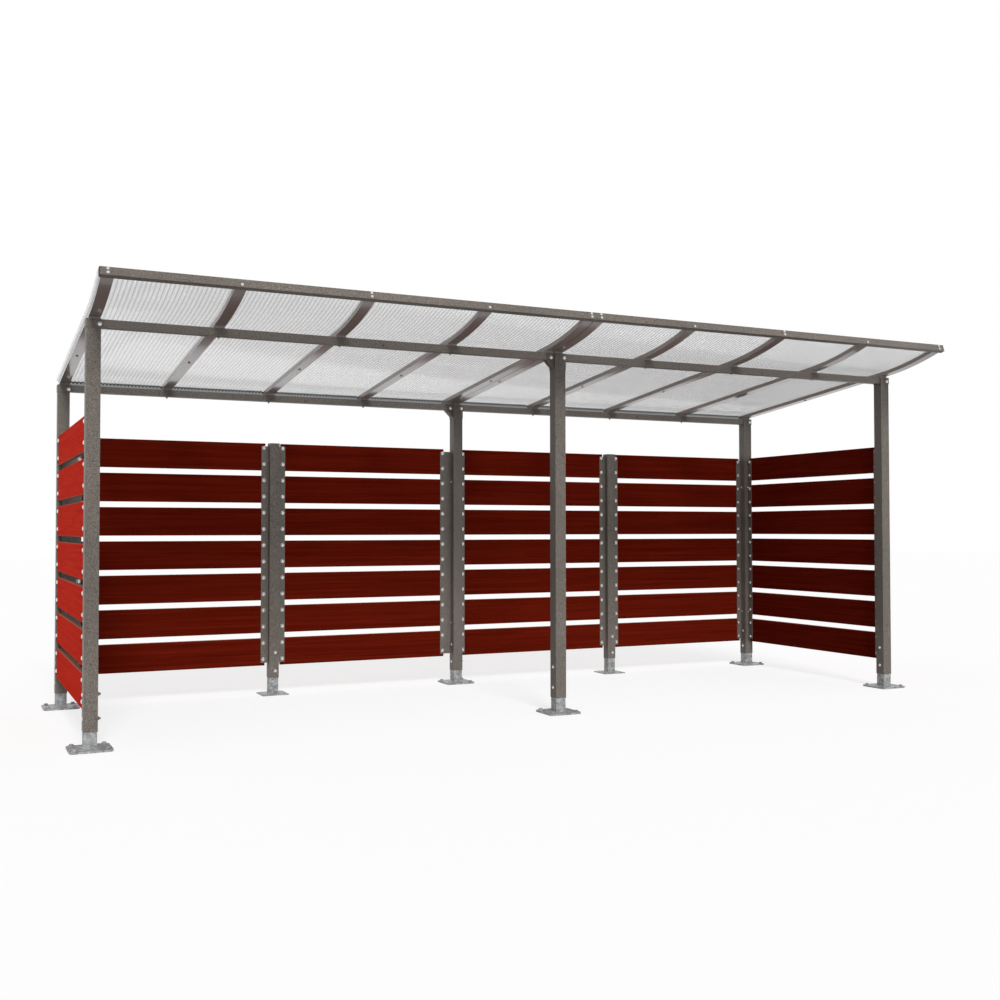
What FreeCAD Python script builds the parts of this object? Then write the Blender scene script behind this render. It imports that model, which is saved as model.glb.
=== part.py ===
# Open-fronted bin shelter: two bays of steel posts under a curved sheet roof, with slatted walls.
# Millimetres, +Z up, front towards -Y. The origin is on the ground under the middle of the roof.
import FreeCAD
import Part
import Sketcher
import math
import os

doc = FreeCAD.newDocument("bin_shelter")
sheet = doc.addObject("Spreadsheet::Sheet", "dims")

DRIVING = [
    # layout of the posts
    ("post_run", 5000),
    ("middle_shift", 38),
    ("rows_apart", 1452),
    ("rear_row_reach", 50),
    # tall posts and their heads
    ("post_width", 66),
    ("post_wall", 2.5),
    ("post_foot_level", 88),
    ("front_head_top", 2054),
    ("rear_head_top", 1902),
    ("head_width", 70),
    ("head_wall", 4),
    ("head_drop", 42),
    ("middle_head_drop", 97),
    # short posts between the back panels
    ("short_post_width", 62),
    ("short_post_setback", 14),
    ("short_post_foot_level", 107),
    # feet
    ("plate_side", 200),
    ("plate_thick", 10),
    ("plate_corner", 24),
    ("plate_hole_pitch", 150),
    ("plate_hole", 14),
    ("short_plate_side", 170),
    ("short_plate_thick", 6),
    ("short_plate_corner", 8),
    ("short_plate_hole_pitch", 120),
    ("short_plate_hole", 12),
    ("stub_wall", 4),
    ("stub_entry", 60),
    # beams
    ("beam_depth", 50),
    ("beam_drop", 40),
    ("beam_wall", 2.5),
    # rafters
    ("rafter_width", 56),
    ("rafter_thick", 24),
    ("rafter_wall", 2.5),
    ("rafter_radius", 2040),
    ("roof_turn", 13.3),
    ("saddle_rise", 6),
    ("rafter_pair", 60),
    ("rafter_inset", 13),
    # fascia
    ("fascia_depth", 28),
    ("fascia_lip", 9),
    ("fascia_wall", 2.5),
    ("fascia_inset", 2),
    # roof sheets
    ("roof_overhang", 4),
    ("roof_thick", 8),
    # slatted walls
    ("board_height", 173),
    ("board_gap", 34),
    ("board_thick", 25),
    ("board_bottom", 182),
    ("tall_post_gap", 13),
    ("short_post_gap", 20),
    ("side_board_gap", 15),
    ("side_board_inset", 5),
    ("back_board_setback", 23),
    # plates that carry the boards
    ("carrier_thick", 5),
    ("carrier_lap", 26),
    ("carrier_end", 18),
    # gussets under the middle heads
    ("gusset_reach", 50),
    ("gusset_depth", 40),
    ("gusset_wall", 4),
]

for row, (name, value) in enumerate(DRIVING, start=1):
    sheet.set(f"A{row}", name)
    sheet.set(f"B{row}", str(value))
    sheet.setAlias(f"B{row}", name)
doc.recompute()

BOARDS = 7

# The roof runs straight from the rear over both rows of heads, then an arc lifts its front end.
SLOPE = "atan((dims.front_head_top - dims.rear_head_top) / dims.rows_apart)"
END_SLOPE = f"({SLOPE} + dims.roof_turn * 1 deg)"
ARC_REACH = f"(dims.rafter_radius * (sin({END_SLOPE}) - sin({SLOPE})))"
ARC_RISE = f"(dims.rafter_radius * (cos({SLOPE}) - cos({END_SLOPE})))"
FASCIA_REACH = f"(dims.fascia_lip * sin({END_SLOPE}) + dims.fascia_depth * cos({END_SLOPE}))"
FASCIA_RISE = f"(dims.fascia_depth * sin({END_SLOPE}) - dims.fascia_lip * cos({END_SLOPE}))"
FRONT_REACH = f"(dims.beam_depth / 2 + {ARC_REACH} + {FASCIA_REACH})"

# Places that several pieces share, as expressions of the driving dimensions.
HALF_DEPTH = f"(({FRONT_REACH} + dims.rows_apart + dims.plate_side / 2) / 2)"
FRONT_ROW = f"({FRONT_REACH} - {HALF_DEPTH})"
REAR_ROW = f"({FRONT_ROW} + dims.rows_apart)"
SHORT_ROW = f"({REAR_ROW} + dims.short_post_setback)"
BACK_BOARDS = f"({REAR_ROW} + dims.back_board_setback)"
LEFT = "(-dims.post_run / 2)"
MIDDLE = "dims.middle_shift"
RIGHT = "(dims.post_run / 2)"
SHORT_LEFT = f"(({LEFT} + {MIDDLE}) / 2)"
SHORT_RIGHT = f"(({MIDDLE} + {RIGHT}) / 2)"
HALF_POST = "dims.post_width / 2"
HALF_HEAD = "dims.head_width / 2"
HALF_SHORT = "dims.short_post_width / 2"
WALL_HEIGHT = f"({BOARDS} * dims.board_height + {BOARDS - 1} * dims.board_gap)"
WALL_TOP = f"(dims.board_bottom + {WALL_HEIGHT})"
ROOF_REAR = f"({REAR_ROW} + dims.rear_row_reach)"
ROOF_END = "((dims.post_run + dims.post_width) / 2 + dims.roof_overhang)"
ARC_START = f"({FRONT_ROW} - dims.beam_depth / 2)"
ARC_LEVEL = f"(dims.front_head_top + dims.saddle_rise + dims.beam_depth / 2 * tan({SLOPE}))"

parts = {}


def bind(item, bindings):
    """Binds each named property of an object to its expression."""
    for name, expression in bindings.items():
        item.setExpression(name, expression)
    return item


def value_of(expression):
    """The number that an expression of the driving dimensions comes to."""
    return float(sheet.evalExpression(expression))


def part(name, item):
    """Keeps an object as a sub-part, under the name that its file gets."""
    item.Label = name
    parts[name] = item
    return item


def box(name, length, width, height, x, y, z):
    """A box from its three sides and its lowest corner."""
    places = {"Placement.Base.x": x, "Placement.Base.y": y, "Placement.Base.z": z}
    item = doc.addObject("Part::Box", name)
    return bind(item, {"Length": length, "Width": width, "Height": height, **places})


def block(name, side, height, x, y, z):
    """An upright square block about the vertical line through x, y."""
    return box(name, side, side, height, f"{x} - ({side}) / 2", f"{y} - ({side}) / 2", z)


def cut(name, base, tool):
    item = doc.addObject("Part::Cut", name)
    item.Base = base
    item.Tool = tool
    return item


def fuse(name, shapes):
    item = doc.addObject("Part::MultiFuse", name)
    item.Shapes = shapes
    return item


def group(name, shapes):
    """One sub-part of several solids that stand apart."""
    item = doc.addObject("Part::Compound", name)
    item.Links = shapes
    return part(name, item)


def square_tube(name, side, wall, height, x, y, z):
    """An upright square tube, open at both ends."""
    outer = block(f"{name}_outer", side, height, x, y, z)
    bore = block(f"{name}_bore", f"({side} - 2 * {wall})", height, x, y, z)
    return cut(name, outer, bore)


def flat_tube(name, x_from, x_to, y, z, depth, drop, wall):
    """A rectangular tube that lies along X, from its lowest rear-left corner."""
    length = f"{x_to} - ({x_from})"
    outer = box(f"{name}_outer", length, depth, drop, x_from, y, z)
    bore_depth = f"{depth} - 2 * {wall}"
    bore_drop = f"{drop} - 2 * {wall}"
    bore = box(f"{name}_bore", length, bore_depth, bore_drop, x_from, f"{y} + {wall}", f"{z} + {wall}")
    return part(name, cut(name, outer, bore))


def tall_post(name, x, y, top, head_drop):
    """A tube from just above its foot to the underside of its head."""
    height = f"{top} - {head_drop} - dims.post_foot_level"
    level = "dims.post_foot_level"
    return part(name, square_tube(name, "dims.post_width", "dims.post_wall", height, x, y, level))


def short_post(name, x):
    """A capped tube between two back panels, level with their top."""
    level = "dims.short_post_foot_level"
    height = f"{WALL_TOP} - {level}"
    outer = block(f"{name}_outer", "dims.short_post_width", height, x, SHORT_ROW, level)
    bore_side = "(dims.short_post_width - 2 * dims.post_wall)"
    bore_height = f"{height} - dims.post_wall"
    bore = block(f"{name}_bore", bore_side, bore_height, x, SHORT_ROW, level)
    return part(name, cut(name, outer, bore))


def head(name, x, y, top, drop):
    """The cap on a tall post, open below, which the beams end against."""
    outer = block(f"{name}_outer", "dims.head_width", drop, x, y, f"{top} - {drop}")
    bore_side = "(dims.head_width - 2 * dims.head_wall)"
    bore = block(f"{name}_bore", bore_side, f"{drop} - dims.head_wall", x, y, f"{top} - {drop}")
    return cut(name, outer, bore)


def foot(name, x, y, plate, post_level, post_width):
    """A drilled plate with a square stub that stands inside the post."""
    side = f"dims.{plate}_side"
    thick = f"dims.{plate}_thick"
    corner = sheet.get(f"{plate}_corner")
    blank = block(f"{name}_blank", side, thick, x, y, "0")
    doc.recompute()
    edges = enumerate(blank.Shape.Edges, start=1)
    upright = [number for number, edge in edges if abs(edge.tangentAt(edge.FirstParameter).z) > 0.99]
    rounded = doc.addObject("Part::Fillet", f"{name}_rounded")
    rounded.Base = blank
    rounded.Edges = [(number, corner, corner) for number in upright]
    drills = []
    for x_side in (-1, 1):
        for y_side in (-1, 1):
            drill = doc.addObject("Part::Cylinder", f"{name}_drill")
            sizes = {"Radius": f"dims.{plate}_hole / 2", "Height": thick}
            drill_x = f"{x} + {x_side} * dims.{plate}_hole_pitch / 2"
            drill_y = f"{y} + {y_side} * dims.{plate}_hole_pitch / 2"
            bind(drill, {**sizes, "Placement.Base.x": drill_x, "Placement.Base.y": drill_y})
            drills.append(drill)
    drilled = cut(f"{name}_plate", rounded, fuse(f"{name}_drills", drills))
    stub_side = f"({post_width} - 2 * dims.post_wall)"
    stub_height = f"{post_level} + dims.stub_entry - {thick}"
    stub = square_tube(f"{name}_stub", stub_side, "dims.stub_wall", stub_height, x, y, thick)
    return fuse(name, [drilled, stub])


def side_sketch(body, name, width, feature="PartDesign::Pad"):
    """A sketch on the YZ plane and the pad or pocket that is as wide as given about the body's middle."""
    sketch = body.newObject("Sketcher::SketchObject", f"{name}_profile")
    plane = next(item for item in body.Origin.OriginFeatures if item.Role == "YZ_Plane")
    sketch.AttachmentSupport = [(plane, "")]
    sketch.MapMode = "FlatFace"
    swept = body.newObject(feature, f"{name}_swept")
    swept.Profile = sketch
    swept.Midplane = True
    swept.setExpression("Length", width)
    return sketch


def size_by(sketch, kind, where, start, expression, name):
    """Adds a named dimension to a sketch and binds it."""
    index = sketch.addConstraint(Sketcher.Constraint(kind, *where, start))
    sketch.renameConstraint(index, name)
    sketch.setExpression(f"Constraints.{name}", expression)


def bent_strip(sketch, low, thick):
    """Draws the side view of a strip whose underside lies `low` above the underside of the rafters.

    The sketch starts near its final shape, and its constraints then hold it to the sheet.
    """
    slope = math.radians(value_of(SLOPE))
    end_slope = math.radians(value_of(END_SLOPE))
    radius = sheet.get("rafter_radius")
    run = value_of(f"{ROOF_REAR} - ({ARC_START})")
    centre = FreeCAD.Vector(radius * math.sin(slope), radius * math.cos(slope))
    depth = sheet.get("rafter_thick")

    def on_arc(reduced, angle):
        return centre - FreeCAD.Vector(math.sin(angle), math.cos(angle)) * (radius - reduced)

    def down_slope(reduced):
        return on_arc(reduced, slope) + FreeCAD.Vector(math.cos(slope), -math.sin(slope)) * run

    def arc(reduced):
        circle = Part.Circle(FreeCAD.Vector(centre), FreeCAD.Vector(0, 0, 1), radius - reduced)
        return Part.ArcOfCircle(circle, -math.pi / 2 - end_slope, -math.pi / 2 - slope)

    under, bend, nose, top_bend, top, tail = sketch.addGeometry(
        [
            Part.LineSegment(down_slope(0), on_arc(0, slope)),
            arc(0),
            Part.LineSegment(on_arc(0, end_slope), on_arc(depth, end_slope)),
            arc(depth),
            Part.LineSegment(on_arc(depth, slope), down_slope(depth)),
            Part.LineSegment(down_slope(depth), down_slope(0)),
        ],
        False,
    )
    for kind, *where in (
        ("Tangent", under, 2, bend, 2),
        ("Coincident", bend, 1, nose, 1),
        ("Coincident", nose, 2, top_bend, 1),
        ("Tangent", top_bend, 2, top, 1),
        ("Coincident", top, 2, tail, 1),
        ("Coincident", tail, 2, under, 1),
        ("Coincident", bend, 3, top_bend, 3),
        ("PointOnObject", bend, 3, nose),
        ("Vertical", tail),
        ("Parallel", under, top),
    ):
        sketch.addConstraint(Sketcher.Constraint(kind, *where))
    outer = f"dims.rafter_radius - ({low})"
    size_by(sketch, "Radius", (bend,), radius, outer, "under_radius")
    size_by(sketch, "Radius", (top_bend,), radius - depth, f"{outer} - ({thick})", "top_radius")
    centre_y = f"dims.rafter_radius * sin({SLOPE})"
    centre_z = f"dims.rafter_radius * cos({SLOPE})"
    size_by(sketch, "DistanceX", (-1, 1, bend, 3), centre.x, centre_y, "centre_y")
    size_by(sketch, "DistanceY", (-1, 1, bend, 3), centre.y, centre_z, "centre_z")
    size_by(sketch, "Angle", (nose,), math.pi / 2 - end_slope, f"90 deg - {END_SLOPE}", "end_slope")
    size_by(sketch, "DistanceX", (-1, 1, under, 1), run, f"{ROOF_REAR} - ({ARC_START})", "rear_end")
    size_by(sketch, "Angle", (top,), -slope, f"-{SLOPE}", "slope")


def rafter(name, x):
    """A bent tube with a thin saddle block over each beam."""
    body = doc.addObject("PartDesign::Body", name)
    bind(body, {"Placement.Base.x": x, "Placement.Base.y": ARC_START, "Placement.Base.z": ARC_LEVEL})
    bent_strip(side_sketch(body, f"{name}_outer", "dims.rafter_width"), "0", "dims.rafter_thick")
    rows = (("front", FRONT_ROW, "dims.front_head_top"), ("rear", REAR_ROW, "dims.rear_head_top"))
    for end, row, top in rows:
        sketch = side_sketch(body, f"{name}_{end}_saddle", "dims.rafter_width")
        y = value_of(f"{row} - dims.beam_depth / 2 - ({ARC_START})")
        z = value_of(f"{top} - {ARC_LEVEL}")
        wide = sheet.get("beam_depth")
        tall = sheet.get("rafter_thick")
        corners = [(y, z), (y + wide, z), (y + wide, z + tall), (y, z + tall)]
        points = [FreeCAD.Vector(*corner) for corner in corners]
        low, far, high, near = sketch.addGeometry(
            [Part.LineSegment(points[i], points[(i + 1) % 4]) for i in range(4)], False
        )
        for kind, *where in (
            ("Coincident", low, 2, far, 1),
            ("Coincident", far, 2, high, 1),
            ("Coincident", high, 2, near, 1),
            ("Coincident", near, 2, low, 1),
            ("Horizontal", low),
            ("Horizontal", high),
            ("Vertical", far),
            ("Vertical", near),
        ):
            sketch.addConstraint(Sketcher.Constraint(kind, *where))
        size_by(sketch, "DistanceX", (low, 1, low, 2), wide, "dims.beam_depth", "length")
        lift = "dims.saddle_rise + dims.rafter_thick / 2"
        size_by(sketch, "DistanceY", (far, 1, far, 2), tall, lift, "rise")
        if end == "rear":
            place = f"{row} - dims.beam_depth / 2 - ({ARC_START})"
            size_by(sketch, "DistanceX", (-1, 1, low, 1), y, place, "place")
        else:
            sketch.addConstraint(Sketcher.Constraint("PointOnObject", low, 1, -2))
        size_by(sketch, "DistanceY", (low, 1, -1, 1), -z, f"{ARC_LEVEL} - {top}", "level")
    bore_width = "dims.rafter_width - 2 * dims.rafter_wall"
    inner = side_sketch(body, f"{name}_inner", bore_width, "PartDesign::Pocket")
    bent_strip(inner, "dims.rafter_wall", "dims.rafter_thick - 2 * dims.rafter_wall")
    return part(name, body)


def roof_sheet(name, x_from, x_to):
    """One sheet of the roof, from the fascia to the rear edge."""
    body = doc.addObject("PartDesign::Body", name)
    middle = f"(({x_from}) + ({x_to})) / 2"
    bind(body, {"Placement.Base.x": middle, "Placement.Base.y": ARC_START, "Placement.Base.z": ARC_LEVEL})
    sketch = side_sketch(body, f"{name}_strip", f"({x_to}) - ({x_from})")
    bent_strip(sketch, "dims.rafter_thick", "dims.roof_thick")
    return part(name, body)


def fascia(name, x_from, x_to, open_at_start):
    """A tube across the front ends of the roof, square to its end slope and closed at its outer end."""
    wall = "dims.fascia_wall"
    length = f"({x_to}) - ({x_from})"
    drop = "(dims.fascia_lip + dims.rafter_thick + dims.roof_thick)"
    level = f"({ARC_LEVEL} + {ARC_RISE} + {FASCIA_RISE})"
    outer = box(f"{name}_outer", length, "dims.fascia_depth", drop, x_from, f"-{HALF_DEPTH}", level)
    bore_start = x_from if open_at_start else f"{x_from} + {wall}"
    bore_y = f"{wall} * (cos({END_SLOPE}) + sin({END_SLOPE})) - {HALF_DEPTH}"
    bore_z = f"{level} + {wall} * (cos({END_SLOPE}) - sin({END_SLOPE}))"
    bore_depth = f"dims.fascia_depth - 2 * {wall}"
    bore_length = f"{length} - {wall}"
    bore_height = f"{drop} - 2 * {wall}"
    bore = box(f"{name}_bore", bore_length, bore_depth, bore_height, bore_start, bore_y, bore_z)
    for item in (outer, bore):
        item.Placement.Rotation = FreeCAD.Rotation(FreeCAD.Vector(-1, 0, 0), 1)
        item.setExpression("Placement.Rotation.Angle", END_SLOPE)
    return part(name, cut(name, outer, bore))


def board_wall(name, length, width, x, y):
    """Horizontal boards, one above the other with equal gaps."""
    boards = []
    for number in range(BOARDS):
        level = f"dims.board_bottom + {number} * (dims.board_height + dims.board_gap)"
        boards.append(box(f"{name}_board", length, width, "dims.board_height", x, y, level))
    return group(name, boards)


def carrier(name, length, width, x, y):
    """An upright plate that the boards are bolted to."""
    z = "dims.board_bottom + dims.carrier_end"
    return box(name, length, width, f"{WALL_HEIGHT} - 2 * dims.carrier_end", x, y, z)


def corner_sketch(body, name, depth, lift):
    """A sketch on the XZ plane and the pad that gives it its depth towards the rear."""
    sketch = body.newObject("Sketcher::SketchObject", f"{name}_profile")
    plane = next(item for item in body.Origin.OriginFeatures if item.Role == "XZ_Plane")
    sketch.AttachmentSupport = [(plane, "")]
    sketch.MapMode = "FlatFace"
    sketch.setExpression("AttachmentOffset.Base.z", lift)
    pad = body.newObject("PartDesign::Pad", f"{name}_pad")
    pad.Profile = sketch
    pad.Reversed = True
    pad.setExpression("Length", depth)
    return sketch


def gusset(name, row, top):
    """A bracket in the corner between a middle head and the beam on its left: a web and a slanting plate."""
    body = doc.addObject("PartDesign::Body", name)
    x = f"{MIDDLE} - {HALF_HEAD}"
    y = f"{row} - dims.gusset_depth / 2"
    bind(body, {"Placement.Base.x": x, "Placement.Base.y": y, "Placement.Base.z": f"{top} - dims.beam_drop"})
    reach = sheet.get("gusset_reach")
    inset = sheet.get("gusset_wall") * math.sqrt(2)
    web = [(0, 0), (-reach, 0), (0, -reach)]
    slant = [(-reach, 0), (0, -reach), (0, inset - reach), (inset - reach, 0)]
    for label, points, depth in (("web", web, "dims.gusset_wall"), ("slant", slant, "dims.gusset_depth")):
        sketch = corner_sketch(body, f"{name}_{label}", depth, "0")
        ends = [FreeCAD.Vector(*point) for point in points]
        count = len(ends)
        lines = sketch.addGeometry(
            [Part.LineSegment(ends[i], ends[(i + 1) % count]) for i in range(count)], False
        )
        for i in range(count):
            sketch.addConstraint(Sketcher.Constraint("Coincident", lines[i], 2, lines[(i + 1) % count], 1))
        if label == "web":
            sketch.addConstraint(Sketcher.Constraint("Coincident", lines[0], 1, -1, 1))
            sketch.addConstraint(Sketcher.Constraint("Horizontal", lines[0]))
            sketch.addConstraint(Sketcher.Constraint("Vertical", lines[2]))
            size_by(sketch, "DistanceX", (lines[0], 2, lines[0], 1), reach, "dims.gusset_reach", "along")
            size_by(sketch, "DistanceY", (lines[1], 2, lines[0], 1), reach, "dims.gusset_reach", "down")
        else:
            for line, point in ((0, 1), (2, 2)):
                sketch.addConstraint(Sketcher.Constraint("PointOnObject", lines[line], point, -1))
            for line, point in ((0, 2), (2, 1)):
                sketch.addConstraint(Sketcher.Constraint("PointOnObject", lines[line], point, -2))
            outer = "dims.gusset_reach"
            inner = "dims.gusset_reach - dims.gusset_wall * sqrt(2)"
            size_by(sketch, "DistanceX", (lines[0], 1, -1, 1), reach, outer, "along")
            size_by(sketch, "DistanceY", (lines[0], 2, -1, 1), reach, outer, "down")
            size_by(sketch, "DistanceX", (lines[2], 2, -1, 1), reach - inset, inner, "along_inside")
            size_by(sketch, "DistanceY", (lines[2], 1, -1, 1), reach - inset, inner, "down_inside")
    return body


# Posts, heads and feet
for row, y, top in (("front", FRONT_ROW, "dims.front_head_top"), ("rear", REAR_ROW, "dims.rear_head_top")):
    heads = []
    feet = []
    for place, x in (("left", LEFT), ("middle", MIDDLE), ("right", RIGHT)):
        drop = "dims.middle_head_drop" if place == "middle" else "dims.head_drop"
        tall_post(f"{row}_post_{place}", x, y, top, drop)
        heads.append(head(f"{row}_head_{place}", x, y, top, drop))
        feet.append(foot(f"{row}_foot_{place}", x, y, "plate", "dims.post_foot_level", "dims.post_width"))
    group(f"{row}_post_heads", heads)
    group(f"{row}_feet", feet)
short_feet = []
for place, x in (("left", SHORT_LEFT), ("right", SHORT_RIGHT)):
    short_post(f"short_post_{place}", x)
    level = "dims.short_post_foot_level"
    short_feet.append(
        foot(f"short_foot_{place}", x, SHORT_ROW, "short_plate", level, "dims.short_post_width")
    )
group("short_feet", short_feet)

# Beams between the heads, and the fascia over the front edge of the roof
for row, y, top in (("front", FRONT_ROW, "dims.front_head_top"), ("rear", REAR_ROW, "dims.rear_head_top")):
    for place, x_from, x_to in (("left", LEFT, MIDDLE), ("right", MIDDLE, RIGHT)):
        flat_tube(
            f"{row}_beam_{place}",
            f"({x_from} + {HALF_HEAD})",
            f"({x_to} - {HALF_HEAD})",
            f"{y} - dims.beam_depth / 2",
            f"{top} - dims.beam_drop",
            "dims.beam_depth",
            "dims.beam_drop",
            "dims.beam_wall",
        )
FASCIA_END = "((dims.post_run + dims.post_width) / 2 - dims.fascia_inset)"
fascia("fascia_left", f"(-{FASCIA_END})", "0", False)
fascia("fascia_right", "0", FASCIA_END, True)

# Rafters from the left end to the right end, under the edges and middles of the sheets they carry
RAFTER_PLACES = {
    "end": f"({ROOF_END} - dims.rafter_inset - dims.rafter_width / 2)",
    "outer": f"({ROOF_END} * 3 / 4)",
    "joint": f"({ROOF_END} / 2)",
    "inner": f"({ROOF_END} / 4)",
    "centre": "(dims.rafter_pair / 2)",
}
for place, x in RAFTER_PLACES.items():
    rafter(f"rafter_left_{place}", f"-{x}")
    rafter(f"rafter_right_{place}", x)
ROOF_EDGES = [f"-{ROOF_END}", f"-{ROOF_END} / 2", "0", f"{ROOF_END} / 2", ROOF_END]
for number in range(4):
    roof_sheet(f"roof_sheet_{number + 1}", ROOF_EDGES[number], ROOF_EDGES[number + 1])

# Slatted walls: a bay has two back panels, one each side of its short post, and all four are alike
BACK_CLEAR = "(dims.post_width + dims.short_post_width + 2 * dims.tall_post_gap + 2 * dims.short_post_gap)"
BACK_LENGTH = f"(({RIGHT} - {MIDDLE} - {BACK_CLEAR}) / 2)"
for place, x in (("left", SHORT_LEFT), ("right", SHORT_RIGHT)):
    clear = f"({HALF_SHORT} + dims.short_post_gap)"
    start = f"{x} - {clear} - {BACK_LENGTH}"
    board_wall(f"back_wall_{place}_a", BACK_LENGTH, "dims.board_thick", start, BACK_BOARDS)
    board_wall(f"back_wall_{place}_b", BACK_LENGTH, "dims.board_thick", f"{x} + {clear}", BACK_BOARDS)
SIDE_START = f"({FRONT_ROW} + {HALF_POST} + dims.side_board_gap)"
SIDE_LENGTH = "(dims.rows_apart - dims.post_width - 2 * dims.side_board_gap)"
SIDE_LINE = "((dims.post_run + dims.post_width) / 2 - dims.side_board_inset)"
board_wall("side_wall_left", "dims.board_thick", SIDE_LENGTH, f"-{SIDE_LINE}", SIDE_START)
board_wall("side_wall_right", "dims.board_thick", SIDE_LENGTH, f"{SIDE_LINE} - dims.board_thick", SIDE_START)

# Plates behind the boards, which carry them between the posts
THICK = "dims.carrier_thick"
CARRIER_Y = f"({BACK_BOARDS} - {THICK})"
SIDE_PLATE_X = {
    "left": f"(dims.board_thick - {SIDE_LINE})",
    "right": f"({SIDE_LINE} - dims.board_thick - {THICK})",
}
SIDE_REACH = "(dims.side_board_gap + dims.carrier_lap)"
RIGHT_REACH = "(dims.tall_post_gap + dims.carrier_lap)"
LEFT_REACH = "(dims.tall_post_gap + dims.middle_shift + dims.carrier_lap)"
front_carriers = []
for place, x in SIDE_PLATE_X.items():
    front_y = f"{FRONT_ROW} + {HALF_POST}"
    front_carriers.append(carrier(f"front_carrier_{place}", THICK, SIDE_REACH, x, front_y))
group("front_carriers", front_carriers)
for place, reach, back_x in (
    ("left", LEFT_REACH, f"{LEFT} + {HALF_POST}"),
    ("right", RIGHT_REACH, f"{RIGHT} - {HALF_POST} - {RIGHT_REACH}"),
):
    side_y = f"{REAR_ROW} - {HALF_POST} - {SIDE_REACH}"
    side_plate = carrier(f"rear_carrier_{place}_side", THICK, SIDE_REACH, SIDE_PLATE_X[place], side_y)
    back_plate = carrier(f"rear_carrier_{place}_back", reach, THICK, back_x, CARRIER_Y)
    group(f"rear_carriers_{place}", [side_plate, back_plate])
middle_plates = [
    carrier(
        "rear_carrier_middle_left", LEFT_REACH, THICK, f"{MIDDLE} - {HALF_POST} - {LEFT_REACH}", CARRIER_Y
    ),
    carrier("rear_carrier_middle_right", RIGHT_REACH, THICK, f"{MIDDLE} + {HALF_POST}", CARRIER_Y),
]
group("rear_carriers_middle", middle_plates)
short_plates = []
for place, x in (("left", SHORT_LEFT), ("right", SHORT_RIGHT)):
    reach = "(dims.short_post_gap + dims.carrier_lap)"
    short_plates.append(
        carrier(f"short_carrier_{place}_a", reach, THICK, f"{x} - {HALF_SHORT} - {reach}", CARRIER_Y)
    )
    short_plates.append(carrier(f"short_carrier_{place}_b", reach, THICK, f"{x} + {HALF_SHORT}", CARRIER_Y))
group("short_post_carriers", short_plates)

# Brackets under the beams at the middle posts
group(
    "gussets",
    [
        gusset("front_gusset", FRONT_ROW, "dims.front_head_top"),
        gusset("rear_gusset", REAR_ROW, "dims.rear_head_top"),
    ],
)

doc.recompute()
failed = [item.Name for item in doc.Objects if "Invalid" in item.State or "Error" in item.State]
if failed:
    raise SystemExit(f"failed: {failed}")
os.makedirs("parts", exist_ok=True)
for name, item in parts.items():
    if item.Shape.isNull() or not item.Shape.isValid() or not item.Shape.Solids:
        raise SystemExit(f"{name} has no valid solid")
    item.Shape.exportStep(f"parts/{name}.step")
print(f"{len(parts)} sub-parts")
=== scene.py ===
import math

import bmesh
import bpy
from mathutils import Matrix, Vector


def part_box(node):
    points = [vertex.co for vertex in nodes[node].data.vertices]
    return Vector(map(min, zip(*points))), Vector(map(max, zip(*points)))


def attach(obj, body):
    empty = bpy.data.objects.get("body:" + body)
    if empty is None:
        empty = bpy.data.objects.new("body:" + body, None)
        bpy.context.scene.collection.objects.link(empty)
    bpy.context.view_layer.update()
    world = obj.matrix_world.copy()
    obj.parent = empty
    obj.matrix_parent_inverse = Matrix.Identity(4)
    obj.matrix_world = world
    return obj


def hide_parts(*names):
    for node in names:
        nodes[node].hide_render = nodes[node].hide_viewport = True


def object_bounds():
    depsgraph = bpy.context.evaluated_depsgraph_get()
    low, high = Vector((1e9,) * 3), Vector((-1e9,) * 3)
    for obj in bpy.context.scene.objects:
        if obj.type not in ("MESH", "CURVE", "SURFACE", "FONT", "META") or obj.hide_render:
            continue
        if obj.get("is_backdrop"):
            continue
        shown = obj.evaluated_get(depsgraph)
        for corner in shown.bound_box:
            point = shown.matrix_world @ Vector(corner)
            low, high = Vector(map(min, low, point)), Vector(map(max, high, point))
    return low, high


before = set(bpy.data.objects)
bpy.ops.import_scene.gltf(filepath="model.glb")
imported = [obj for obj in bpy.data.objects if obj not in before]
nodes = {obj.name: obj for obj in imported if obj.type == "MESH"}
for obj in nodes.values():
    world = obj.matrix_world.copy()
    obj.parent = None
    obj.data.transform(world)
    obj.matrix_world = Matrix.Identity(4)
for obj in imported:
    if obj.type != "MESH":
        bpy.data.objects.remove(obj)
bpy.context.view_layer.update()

# Places in metres, read from the nodes that carry each piece.
front_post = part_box("front_post_left")
rear_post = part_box("rear_post_left")
short_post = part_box("short_post_left")
FRONT_Y = (front_post[0].y + front_post[1].y) / 2
REAR_Y = (rear_post[0].y + rear_post[1].y) / 2
SHORT_Y = (short_post[0].y + short_post[1].y) / 2
LEFT_X = (front_post[0].x + front_post[1].x) / 2
RIGHT_X = -LEFT_X
MIDDLE_X = (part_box("front_post_middle")[0].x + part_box("front_post_middle")[1].x) / 2
SHORT_LEFT_X = (short_post[0].x + short_post[1].x) / 2
SHORT_RIGHT_X = (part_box("short_post_right")[0].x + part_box("short_post_right")[1].x) / 2
FRONT_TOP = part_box("front_post_heads")[1].z
REAR_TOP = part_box("rear_post_heads")[1].z
HALF_POST = 0.033
HALF_HEAD = 0.035
HALF_BEAM = 0.025
HALF_SHORT = 0.031
HALF_RAFTER = 0.028
BEAM_DROP = 0.040

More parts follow.
